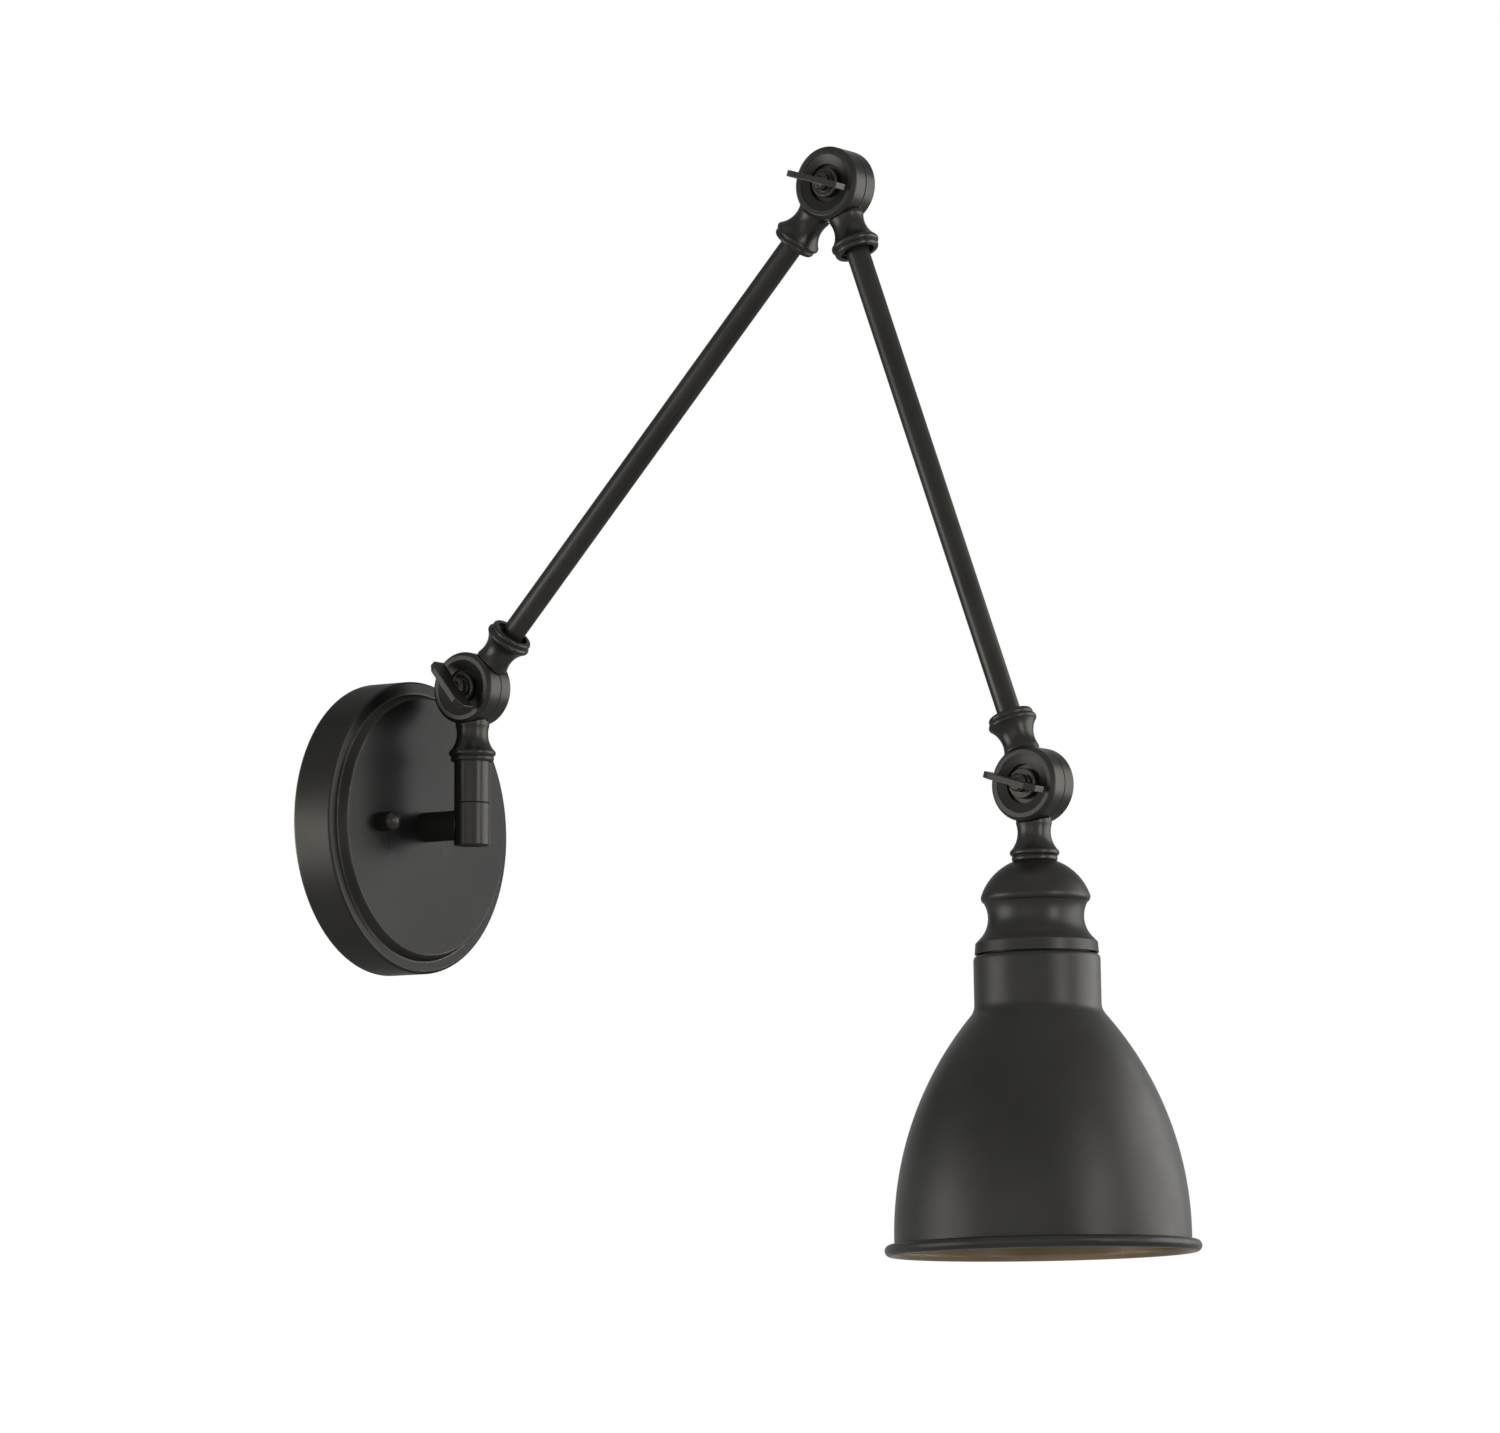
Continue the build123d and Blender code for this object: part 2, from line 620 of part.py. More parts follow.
with BuildPart() as ground_screw:
    with BuildSketch(WALL):
        with Locations((GROUND_SCREW_OFFSET, 0)):
            Circle(GROUND_SCREW_RADIUS)
    extrude(amount=CROSSBAR_THICKNESS)
    with BuildSketch(WALL.offset(CROSSBAR_THICKNESS)):
        with Locations((GROUND_SCREW_OFFSET, 0)):
            Circle(GROUND_WASHER_RADIUS)
    extrude(amount=GROUND_WASHER_HEIGHT)
    with BuildSketch(WALL.offset(CROSSBAR_THICKNESS + GROUND_WASHER_HEIGHT)):
        with Locations((GROUND_SCREW_OFFSET, 0)):
            RegularPolygon(GROUND_HEAD_FLATS / 2, 6, major_radius=False)
    extrude(amount=GROUND_HEAD_HEIGHT)
finish("ground_screw", ground_screw)

# Stub with its washer and nut inside the plate
with BuildPart() as stub_tube:
    with BuildSketch(WALL.offset(PLATE_DEPTH)):
        Circle(STUB_RADIUS)
    extrude(amount=POST_REACH - PLATE_DEPTH)
    with BuildSketch(POST.offset(-STUB_RADIUS)):
        Circle(POST_RADIUS + FIT)
    extrude(amount=2 * STUB_RADIUS, mode=Mode.SUBTRACT)
    with BuildSketch(WALL.offset(STUB_NUT_BACK - STUB_THREAD_PAST_NUT)):
        Circle(STUB_THREAD_RADIUS)
    extrude(
        amount=POST_REACH - LOWER_CHAMBER_RADIUS - STUB_NUT_BACK + STUB_THREAD_PAST_NUT
    )
    with BuildSketch(WALL):
        Circle(STUB_BORE_RADIUS)
    extrude(amount=POST_REACH, mode=Mode.SUBTRACT)
finish("stub_tube", stub_tube)

thread_hole = STUB_THREAD_RADIUS + FIT
washer_back = PLATE_INSIDE - STUB_WASHER_HEIGHT
finish("stub_washer", tube(WALL, STUB_WASHER_RADIUS, thread_hole, washer_back, PLATE_INSIDE))
finish("stub_nut", hex_nut(WALL, STUB_NUT_FLATS, thread_hole, STUB_NUT_BACK, STUB_NUT_HEIGHT))

# Swivel: the lower sleeve is fixed to the stub, the upper one turns on the hollow spindle
swivel_pin_base = Vector(0, -POST_REACH - SWIVEL_STOP_RADIUS, SWIVEL_SPLIT_HEIGHT)

with BuildPart() as swivel_base:
    with BuildSketch(section(POST)):
        with BuildLine():
            Polyline(
                (0, -LOWER_SLEEVE_DROP),
                (POST_RADIUS - SLEEVE_FOOT_CHAMFER, -LOWER_SLEEVE_DROP),
                (POST_RADIUS, SLEEVE_FOOT_CHAMFER - LOWER_SLEEVE_DROP),
                (POST_RADIUS, SWIVEL_SPLIT_HEIGHT - SLEEVE_SPLIT_CHAMFER),
                (POST_RADIUS - SLEEVE_SPLIT_CHAMFER, SWIVEL_SPLIT_HEIGHT),
                (0, SWIVEL_SPLIT_HEIGHT),
                close=True,
            )
        make_face()
    revolve(axis=turning_axis(POST))
    with BuildSketch(POST.offset(-LOWER_SLEEVE_DROP)):
        Circle(LOWER_CHAMBER_RADIUS)
    extrude(
        amount=LOWER_SLEEVE_DROP + SWIVEL_SPLIT_HEIGHT - LOWER_SLEEVE_WEB, mode=Mode.SUBTRACT
    )
    with BuildSketch(POST):
        Circle(SPINDLE_RADIUS + FIT)
    extrude(amount=SWIVEL_SPLIT_HEIGHT, mode=Mode.SUBTRACT)
    with BuildSketch(WALL.offset(PLATE_DEPTH)):
        Circle(thread_hole)
    extrude(amount=POST_REACH - PLATE_DEPTH, mode=Mode.SUBTRACT)
    with BuildSketch(Plane(swivel_pin_base)):
        Circle(STOP_PIN_RADIUS + FIT)
    extrude(amount=-STOP_PIN_SEAT - FIT, mode=Mode.SUBTRACT)
finish("swivel_base", swivel_base)

with BuildPart() as swivel_cap:
    with BuildSketch(POST.offset(-LOWER_SLEEVE_DROP)):
        Circle(LOWER_CHAMBER_RADIUS - FIT)
    extrude(amount=END_CAP_HEIGHT)
finish("swivel_cap", swivel_cap)

finish("swivel_stop_pin", stop_pin(swivel_pin_base, Vector(0, 0, 1)))

spindle_foot = SWIVEL_SPLIT_HEIGHT - LOWER_SLEEVE_WEB
spindle_top = RING_NUT_END + SPINDLE_PAST_NUT
finish(
    "swivel_spindle", tube(POST, SPINDLE_RADIUS, SPINDLE_BORE_RADIUS, spindle_foot, spindle_top)
)
finish(
    "swivel_washer",
    tube(POST, SWIVEL_WASHER_RADIUS, SPINDLE_RADIUS + FIT, SWIVEL_WASHER_START, RING_NUT_START),
)

with BuildPart() as swivel_ring_nut:
    with BuildSketch(POST.offset(RING_NUT_START)):
        Circle(RING_NUT_RADIUS)
        Circle(SPINDLE_RADIUS + FIT, mode=Mode.SUBTRACT)
    extrude(amount=RING_NUT_HEIGHT)
    with BuildSketch(POST.offset(RING_NUT_END)):
        Rectangle(2 * RING_NUT_RADIUS, RING_NUT_SLOT_WIDTH)
    extrude(amount=-RING_NUT_SLOT_DEPTH, mode=Mode.SUBTRACT)
finish("swivel_ring_nut", swivel_ring_nut)

with BuildPart() as swivel_sleeve:
    with BuildSketch(section(POST)):
        with BuildLine():
            Polyline(
                (SPINDLE_RADIUS + RUNNING_FIT, UPPER_SLEEVE_START),
                (POST_RADIUS - SLEEVE_SPLIT_CHAMFER, UPPER_SLEEVE_START),
                (POST_RADIUS, UPPER_SLEEVE_START + SLEEVE_SPLIT_CHAMFER),
                (POST_RADIUS, UPPER_SLEEVE_END),
                (UPPER_CHAMBER_RADIUS, UPPER_SLEEVE_END),
                (UPPER_CHAMBER_RADIUS, UPPER_SLEEVE_START + UPPER_SLEEVE_WEB),
                (SPINDLE_RADIUS + RUNNING_FIT, UPPER_SLEEVE_START + UPPER_SLEEVE_WEB),
                close=True,
            )
        make_face()
    revolve(axis=turning_axis(POST))
    groove_half_angle = SWING_TRAVEL + stop_margin(SWIVEL_STOP_RADIUS)
    groove_start = Vector(0, -1, 0).rotate(Axis.Z, -groove_half_angle)
    with BuildSketch(Plane(POST.origin, x_dir=groove_start, z_dir=groove_start.cross(POST.z_dir))):
        with Locations((SWIVEL_STOP_RADIUS, UPPER_SLEEVE_START)):
            Rectangle(
                2 * (STOP_PIN_RADIUS + STOP_ROOM),
                STOP_PIN_PROUD - FACE_GAP + STOP_ROOM,
                align=(Align.CENTER, Align.MIN),
            )
    revolve(
        axis=turning_axis(POST), revolution_arc=2 * groove_half_angle, mode=Mode.SUBTRACT
    )
finish("swivel_sleeve", swivel_sleeve)

# Hinges: front half, rear half, friction washer, stop pin and thumbscrew of each
tube_socket = ARM_TUBE_RADIUS + FIT
post_bore = STUB_BORE_RADIUS
HINGES = {
    "base": (BASE_HINGE, POST_NECK, BASE_STOP_ANGLE, BASE_BLADE_ANGLE),
    "elbow": (ELBOW_HINGE, LOWER_ARM_END, ELBOW_STOP_ANGLE, ELBOW_BLADE_ANGLE),
    "head": (HEAD_HINGE, UPPER_ARM_END, HEAD_STOP_ANGLE, HEAD_BLADE_ANGLE),
}
finish(
    "post_knuckle",
    knuckle_half(
        POST_NECK, BASE_STOP_ANGLE, BASE_TRAVEL, post_bore, spigot_length=POST_SPIGOT_LENGTH
    ),
)
finish(
    "lower_arm_base_knuckle",
    knuckle_half(LOWER_ARM, BASE_STOP_ANGLE, BASE_TRAVEL, tube_socket, recess=True),
)
finish(
    "lower_arm_elbow_knuckle",
    knuckle_half(LOWER_ARM_END, ELBOW_STOP_ANGLE, ELBOW_TRAVEL, tube_socket, recess=True),
)
finish(
    "upper_arm_elbow_knuckle",
    knuckle_half(UPPER_ARM, ELBOW_STOP_ANGLE, ELBOW_TRAVEL, tube_socket, recess=True),
)
finish(
    "upper_arm_head_knuckle",
    knuckle_half(UPPER_ARM_END, HEAD_STOP_ANGLE, HEAD_TRAVEL, tube_socket, recess=True),
)
finish(
    "shade_knuckle", knuckle_half(SHADE_AXIS, HEAD_STOP_ANGLE, HEAD_TRAVEL, NIPPLE_RADIUS + FIT)
)

for name, (hinge, front_frame, stop_angle, blade_angle) in HINGES.items():
    hinge_frame = Plane(hinge, z_dir=REAR)
    half_washer = FRICTION_WASHER_HEIGHT / 2
    pin_base = hinge + outward(stop_angle) * HINGE_STOP_RADIUS + FRONT * HALF_GAP
    finish(
        f"{name}_friction_washer",
        tube(
            hinge_frame,
            FRICTION_WASHER_RADIUS,
            SCREW_RADIUS + SCREW_HOLE_ROOM,
            -half_washer,
            half_washer,
        ),
    )
    finish(f"{name}_stop_pin", stop_pin(pin_base, REAR))
    finish(f"{name}_thumbscrew", thumbscrew(front_frame, blade_angle))

# Arm tubes and leads
tube_bore = ARM_TUBE_RADIUS - ARM_TUBE_WALL
tube_end = ARM_LENGTH - ARM_TUBE_SEAT
finish("lower_arm_tube", tube(LOWER_ARM, ARM_TUBE_RADIUS, tube_bore, ARM_TUBE_SEAT, tube_end))
finish("upper_arm_tube", tube(UPPER_ARM, ARM_TUBE_RADIUS, tube_bore, ARM_TUBE_SEAT, tube_end))

finish(
    "post_leads",
    lead_pair(
        Vector(0, -POST_REACH, SWIVEL_SPLIT_HEIGHT - POST_LEAD_TAIL) + FRONT * LEAD_TAIL_OFFSET,
        BASE_HINGE + POST_NECK.z_dir * LEAD_END + FRONT * LEAD_OFFSET,
        POST_NECK.y_dir,
    ),
)
for name, frame in (("lower_arm", LOWER_ARM), ("upper_arm", UPPER_ARM)):
    finish(
        f"{name}_leads",
        lead_pair(
            frame.origin + frame.z_dir * LEAD_END + REAR * LEAD_OFFSET,
            frame.origin + frame.z_dir * (ARM_LENGTH - LEAD_END) + FRONT * LEAD_OFFSET,
            frame.y_dir,
        ),
    )
finish(
    "shade_leads",
    lead_pair(
        HEAD_HINGE + SHADE_AXIS.z_dir * LEAD_END + REAR * LEAD_OFFSET,
        HEAD_HINGE + SHADE_AXIS.z_dir * LAMP_LEAD_END + REAR * LEAD_TAIL_OFFSET,
        SHADE_AXIS.y_dir,
    ),
)

# Socket cup, nipple and locknut
with BuildPart() as socket_cup:
    with BuildSketch(section(SHADE_AXIS)):
        with BuildLine():
            top = Line((NIPPLE_RADIUS + FIT, COLLAR_END), (CUP_TOP_RADIUS, COLLAR_END))
            dome = ThreePointArc(
                top @ 1, (CUP_DOME_RADIUS, CUP_DOME_AT), (CUP_DOME_END_RADIUS, CUP_DOME_END)
            )
            bulge = ThreePointArc(
                dome @ 1, (CUP_BULGE_RADIUS, CUP_BULGE_AT), (CUP_CREASE_RADIUS, CUP_CREASE_AT)
            )
            waist = ThreePointArc(
                bulge @ 1, (CUP_WAIST_RADIUS, CUP_WAIST_AT), (CUP_FLARE_RADIUS, CUP_FLARE_AT)
            )
            Polyline(waist @ 1, (CUP_BAND_RADIUS, CUP_BAND_AT), (CUP_END_RADIUS, CUP_END))
            offset(amount=CUP_WALL, kind=Kind.INTERSECTION, side=Side.LEFT)
        make_face()
    revolve(axis=turning_axis(SHADE_AXIS))
finish("socket_cup", socket_cup)

finish(
    "socket_nipple",
    tube(
        SHADE_AXIS, NIPPLE_RADIUS, NIPPLE_BORE_RADIUS, ARM_TUBE_SEAT, HOLDER_TOP + NIPPLE_IN_HOLDER
    ),
)
nipple_hole = NIPPLE_RADIUS + FIT
finish(
    "socket_locknut",
    hex_nut(SHADE_AXIS, LAMP_NUT_FLATS, nipple_hole, LAMP_NUT_START, LAMP_NUT_HEIGHT),
)

# Lampholder with its screw shell, centre contact and terminal screws
with BuildPart() as lampholder:
    skirt_end = SHADE_TOP + HOLDER_SKIRT_LENGTH
    with BuildSketch(section(SHADE_AXIS)):
        with BuildLine():
            Polyline(
                (nipple_hole, HOLDER_TOP),
                (HOLDER_CROWN_RADIUS, HOLDER_TOP),
                (HOLDER_RADIUS, HOLDER_TOP + HOLDER_CROWN_HEIGHT),
                (HOLDER_RADIUS, SHADE_TOP - HOLDER_FLANGE_HEIGHT),
                (HOLDER_FLANGE_RADIUS, SHADE_TOP - HOLDER_FLANGE_HEIGHT),
                (HOLDER_FLANGE_RADIUS, SHADE_TOP),
                (HOLDER_SKIRT_RADIUS, SHADE_TOP),
                (HOLDER_SKIRT_RADIUS, skirt_end),
                (HOLDER_CAVITY_RADIUS, skirt_end),
                (HOLDER_CAVITY_RADIUS, HOLDER_CAVITY_TOP),
                (HOLDER_RECESS_RADIUS, HOLDER_CAVITY_TOP),
                (HOLDER_RECESS_RADIUS, CONTACT_FLOOR),
                (HOLDER_WIRE_RADIUS, CONTACT_FLOOR),
                (HOLDER_WIRE_RADIUS, HOLDER_TOP + NIPPLE_IN_HOLDER),
                (nipple_hole, HOLDER_TOP + NIPPLE_IN_HOLDER),
                close=True,
            )
        make_face()
    revolve(axis=turning_axis(SHADE_AXIS))
    terminal_height = HEAD_HINGE + SHADE_AXIS.z_dir * TERMINAL_AT
    for direction in (FRONT, REAR):
        with BuildSketch(Plane(terminal_height + direction * HOLDER_RADIUS, z_dir=direction)):
            Circle(TERMINAL_RADIUS + FIT)
        extrude(amount=-TERMINAL_LENGTH - FIT, mode=Mode.SUBTRACT)
finish("lampholder", lampholder)

with BuildPart() as terminal_screws:
    for direction in (FRONT, REAR):
        with BuildSketch(Plane(terminal_height + direction * HOLDER_RADIUS, z_dir=direction)):
            Circle(TERMINAL_RADIUS)
        extrude(amount=-TERMINAL_LENGTH)
        with BuildSketch(Plane(terminal_height + direction * HOLDER_RADIUS, z_dir=direction)):
            Circle(TERMINAL_HEAD_RADIUS)
        extrude(amount=TERMINAL_HEAD_HEIGHT)
finish("terminal_screws", terminal_screws)

with BuildPart() as screw_shell:
    with BuildSketch(section(SHADE_AXIS)):
        with BuildLine():
            Polyline(
                (HOLDER_RECESS_RADIUS, HOLDER_CAVITY_TOP),
                (SHELL_RADIUS + SHELL_WALL, HOLDER_CAVITY_TOP),
                (SHELL_RADIUS + SHELL_WALL, HOLDER_CAVITY_TOP + SHELL_LENGTH),
                (SHELL_RADIUS, HOLDER_CAVITY_TOP + SHELL_LENGTH),
                (SHELL_RADIUS, HOLDER_CAVITY_TOP + SHELL_WALL),
                (HOLDER_RECESS_RADIUS, HOLDER_CAVITY_TOP + SHELL_WALL),
                close=True,
            )
        make_face()
    revolve(axis=turning_axis(SHADE_AXIS))
finish("screw_shell", screw_shell)

with BuildPart() as centre_contact:
    with BuildSketch(section(SHADE_AXIS)):
        with BuildLine():
            Polyline(
                (-CONTACT_FOOT, CONTACT_FLOOR),
                (-CONTACT_TIP, CONTACT_FLOOR),
                (CONTACT_TIP, CONTACT_FLOOR + CONTACT_RISE),
                (CONTACT_FOOT, CONTACT_FLOOR + CONTACT_RISE - CONTACT_TIP),
            )
            offset(amount=CONTACT_THICKNESS, kind=Kind.INTERSECTION, side=Side.LEFT)
        make_face()
    extrude(amount=CONTACT_WIDTH / 2, both=True)
finish("centre_contact", centre_contact)

# Shade, clamped between the lampholder's flange and the shade ring
dome_centre = SHADE_RIM_RADIUS - SHADE_DOME_RADIUS
blend_centre = SHADE_NECK_RADIUS + SHADE_NECK_BLEND
blend_reach = SHADE_DOME_RADIUS + SHADE_NECK_BLEND
neck_end = SHADE_DOME_END - sqrt(blend_reach**2 - (blend_centre - dome_centre) ** 2)
dome_share = SHADE_DOME_RADIUS / blend_reach
dome_start = (
    dome_centre + dome_share * (blend_centre - dome_centre),
    SHADE_DOME_END + dome_share * (neck_end - SHADE_DOME_END),
)
with BuildPart() as shade:
    with BuildSketch(section(SHADE_AXIS)):
        with BuildLine():
            FilletPolyline(
                (HOLDER_SKIRT_RADIUS + SCREW_HOLE_ROOM, SHADE_TOP),
                (SHADE_NECK_RADIUS, SHADE_TOP),
                (SHADE_NECK_RADIUS, neck_end),
                radius=SHADE_SHOULDER_ROUND,
            )
            blend = TangentArc((SHADE_NECK_RADIUS, neck_end), dome_start, tangent=(0, 1))
            bell = TangentArc(blend @ 1, (SHADE_RIM_RADIUS, SHADE_DOME_END), tangent=blend % 1)
            Line(bell @ 1, (SHADE_RIM_RADIUS, RIM_BEAD_AT))
            offset(amount=SHADE_WALL, kind=Kind.INTERSECTION, side=Side.LEFT)
        make_face()
    revolve(axis=turning_axis(SHADE_AXIS))
    with BuildSketch(section(SHADE_AXIS)):
        with Locations((SHADE_RIM_RADIUS - SHADE_WALL + RIM_BEAD_RADIUS, RIM_BEAD_AT)):
            Circle(RIM_BEAD_RADIUS)
    revolve(axis=turning_axis(SHADE_AXIS))
finish("shade", shade)

with BuildPart() as shade_ring:
    with BuildSketch(section(SHADE_AXIS)):
        with BuildLine():
            Polyline(
                (HOLDER_SKIRT_RADIUS + FIT, SHADE_RING_START),
                (SHADE_RING_RADIUS, SHADE_RING_START),
                (SHADE_RING_RADIUS, SHADE_RING_START + SHADE_RING_HEIGHT - SHADE_RING_EDGE),
                (SHADE_RING_RADIUS - SHADE_RING_EDGE, SHADE_RING_START + SHADE_RING_HEIGHT),
                (HOLDER_SKIRT_RADIUS + FIT, SHADE_RING_START + SHADE_RING_HEIGHT),
                close=True,
            )
        make_face()
    revolve(axis=turning_axis(SHADE_AXIS))
finish("shade_ring", shade_ring)
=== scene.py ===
"""Swing arm wall sconce: finishes, threads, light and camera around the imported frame, in metres."""

import json
import math
from dataclasses import dataclass, replace

import bmesh
import bpy
from mathutils import Matrix, Vector


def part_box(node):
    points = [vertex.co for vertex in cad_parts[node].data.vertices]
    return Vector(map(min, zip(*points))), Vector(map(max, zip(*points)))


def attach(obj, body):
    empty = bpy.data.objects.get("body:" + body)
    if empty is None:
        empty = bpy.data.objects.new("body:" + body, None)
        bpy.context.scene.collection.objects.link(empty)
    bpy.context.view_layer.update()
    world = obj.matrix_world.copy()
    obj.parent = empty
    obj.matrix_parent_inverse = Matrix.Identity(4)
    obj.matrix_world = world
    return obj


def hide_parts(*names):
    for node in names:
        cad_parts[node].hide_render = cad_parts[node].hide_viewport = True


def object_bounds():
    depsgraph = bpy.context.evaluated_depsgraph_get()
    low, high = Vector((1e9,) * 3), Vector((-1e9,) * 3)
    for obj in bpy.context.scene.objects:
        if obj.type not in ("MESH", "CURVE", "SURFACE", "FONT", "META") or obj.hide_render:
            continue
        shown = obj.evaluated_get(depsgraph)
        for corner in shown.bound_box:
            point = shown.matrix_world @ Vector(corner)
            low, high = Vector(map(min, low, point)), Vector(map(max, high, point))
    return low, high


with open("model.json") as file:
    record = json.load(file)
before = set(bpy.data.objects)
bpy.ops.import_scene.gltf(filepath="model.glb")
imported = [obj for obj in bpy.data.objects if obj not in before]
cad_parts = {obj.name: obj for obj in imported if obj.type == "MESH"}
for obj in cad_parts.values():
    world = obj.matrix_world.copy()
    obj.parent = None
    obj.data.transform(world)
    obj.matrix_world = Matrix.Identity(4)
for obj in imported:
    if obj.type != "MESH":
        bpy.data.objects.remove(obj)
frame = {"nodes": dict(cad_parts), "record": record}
cad_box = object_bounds()

# Camera of the photograph: where it stands, and where it looks from +Y towards +X and up
CAMERA_LOCATION = Vector((-2.69708, -2.08749, -0.32007))
CAMERA_HEADING = math.radians(55.198)
CAMERA_PITCH = math.radians(6.28)
CAMERA_LENS = 171.5
CAMERA_SENSOR = 36.0
CAMERA_FAR = 60.0

# Studio floor: its glow goes over the first range between the second range's distances
FLOOR_HEIGHT = -2.6
FLOOR_RADIUS = 6.0
FLOOR_CORNERS = 96
FLOOR_GLOW = (0.6, 1.0)
FLOOR_GLOW_REACH = (1.5, 5.5)

# Studio light: the white around the part, and soft lights that face its middle. A light has its
# steps to the right, away and up from there as the camera sees it, its width, height and watts.
WHITE = (1.0, 1.0, 1.0, 1.0)
SEEN_STRENGTH = 1.0
AMBIENT_STRENGTH = 0.22
SOFT_LIGHTS = {
    "key": ((1.8, 0.35, 0.2), 1.9, 1.4, 66.0),
    "side": ((-1.85, -0.38, -0.22), 1.15, 1.05, 34.0),
    "front": ((1.4, -1.5, 0.1), 0.35, 1.4, 27.0),
    "fill": ((-0.7, -2.1, -0.1), 2.0, 1.2, 11.0),
    "top": ((0.0, -0.5, 2.0), 1.6, 1.6, 5.0),
}

# Patterns and rounded edges that all finishes share
NOISE_RANGE = (0.3, 0.7)
CLOUD_DETAIL = 4.0
GLOSS_DETAIL = 3.0
GLOSS_SCALE = 4.0
GRAIN_DETAIL = 2.0
GRAIN_STRENGTH = 0.5
EDGE_ROUND = 0.00035
EDGE_SAMPLES = 4


@dataclass(frozen=True)
class Finish:
    """Colour and gloss that drift between two values, a fine grain, and fixed shader values."""

    dark: tuple
    light: tuple
    roughness: tuple
    cloud_scale: float
    grain_scale: float
    grain_depth: float
    fixed: dict


def bronze_gloss(edge):
    """Shader values of a dark lacquered metal, with its reflection at a slant dimmed to a grey."""
    return {"Metallic": 0.7, "Specular IOR Level": 0.2, "Specular Tint": (edge, edge, edge, 1.0)}


BRONZE = Finish(
    dark=(0.0165, 0.0160, 0.0143, 1.0),
    light=(0.0230, 0.0222, 0.0198, 1.0),
    roughness=(0.28, 0.38),
    cloud_scale=14.0,
    grain_scale=2600.0,
    grain_depth=0.00003,
    fixed=bronze_gloss(0.4),
)
SPUN_BRONZE = replace(BRONZE, roughness=(0.36, 0.45))
PLATE_RIM = replace(BRONZE, roughness=(0.38, 0.46))
# The face's darker copy of the bronze is painted shade, where the lights fall full on it
PLATE_FACE_PAINTED_SHADE = replace(
    BRONZE,
    dark=(0.0095, 0.0093, 0.0090, 1.0),
    light=(0.0128, 0.0125, 0.0121, 1.0),
    roughness=(0.27, 0.35),
    fixed=bronze_gloss(0.1),
)
# The lampshade's outside is a slightly darker copy of the bronze: painted shade
SHADE_OUTSIDE_PAINTED_SHADE = replace(
    BRONZE,
    dark=(0.0150, 0.0145, 0.0130, 1.0),
    light=(0.0207, 0.0200, 0.0178, 1.0),
    roughness=(0.40, 0.48),
    fixed=bronze_gloss(0.62),
)
# Inside the lampshade: a warmer coat, its lightness partly painted light from inside the bell
SHADE_INSIDE_COAT_AND_PAINTED_LIGHT = replace(
    SHADE_OUTSIDE_PAINTED_SHADE,
    dark=(0.076, 0.058, 0.036, 1.0),
    light=(0.126, 0.095, 0.060, 1.0),
    cloud_scale=18.0,
)
ZINC = Finish(
    dark=(0.42, 0.42, 0.40, 1.0),
    light=(0.58, 0.58, 0.55, 1.0),
    roughness=(0.28, 0.42),
    cloud_scale=60.0,
    grain_scale=1800.0,
    grain_depth=0.00002,
    fixed={"Metallic": 1.0},
)
BRASS = Finish(
    dark=(0.52, 0.36, 0.14, 1.0),
    light=(0.66, 0.48, 0.22, 1.0),
    roughness=(0.22, 0.36),
    cloud_scale=80.0,
    grain_scale=2400.0,
    grain_depth=0.00002,
    fixed={"Metallic": 1.0},
)
PHENOLIC = Finish(
    dark=(0.012, 0.012, 0.012, 1.0),
    light=(0.020, 0.019, 0.018, 1.0),
    roughness=(0.32, 0.44),
    cloud_scale=50.0,
    grain_scale=1500.0,
    grain_depth=0.00003,
    fixed={"Specular IOR Level": 0.45},
)
INSULATION = Finish(
    dark=(0.016, 0.016, 0.017, 1.0),
    light=(0.026, 0.026, 0.027, 1.0),
    roughness=(0.42, 0.55),
    cloud_scale=40.0,
    grain_scale=2200.0,
    grain_depth=0.00003,
    fixed={"Specular IOR Level": 0.4},
)
FIBRE = Finish(
    dark=(0.13, 0.040, 0.020, 1.0),
    light=(0.20, 0.070, 0.035, 1.0),
    roughness=(0.62, 0.78),
    cloud_scale=300.0,
    grain_scale=3500.0,
    grain_depth=0.00006,
    fixed={},
)
GREEN_PLATING = Finish(
    dark=(0.015, 0.12, 0.045, 1.0),
    light=(0.025, 0.18, 0.07, 1.0),
    roughness=(0.26, 0.38),
    cloud_scale=120.0,
    grain_scale=2000.0,
    grain_depth=0.00002,
    fixed={"Metallic": 0.8},
)
FLOOR_PAPER = Finish(
    dark=(0.83, 0.83, 0.82, 1.0),
    light=(0.87, 0.87, 0.86, 1.0),
    roughness=(0.75, 0.85),
    cloud_scale=3.0,
    grain_scale=200.0,
    grain_depth=0.0002,
    fixed={"Specular IOR Level": 0.1, "Emission Color": (0.87, 0.87, 0.86, 1.0)},
)

# Lighter edges, partly wear and partly a painted highlight: how far it reaches, and its least and
# most. It starts where the normal, rounded over that reach, turns from the actual one by the first
# cosine, and is full from the second.
WORN_AND_HIGHLIGHT_COLOUR = (0.110, 0.097, 0.076, 1.0)
WEAR_AND_HIGHLIGHT_TURN = (0.99, 0.88)
WEAR_AND_HIGHLIGHT_SAMPLES = 6
WEAR_AND_HIGHLIGHT_PATCH_SCALE = 90.0
WEAR_AND_HIGHLIGHT_PATCH_DETAIL = 3.0
USUAL_WEAR_AND_HIGHLIGHT = (0.0005, 0.05, 0.4)
SPUN_WEAR_AND_HIGHLIGHT = (0.0005, 0.1, 0.5)
HANDLED_WEAR_AND_HIGHLIGHT = (0.0007, 0.4, 1.0)
PLATE_WEAR_AND_HIGHLIGHT = (0.0014, 0.5, 1.0)

# The plate's finish goes from the face's painted shade to the rim's bronze as the square of its
# normal's Y goes between these
RIM_TURN = (0.5, 0.1)

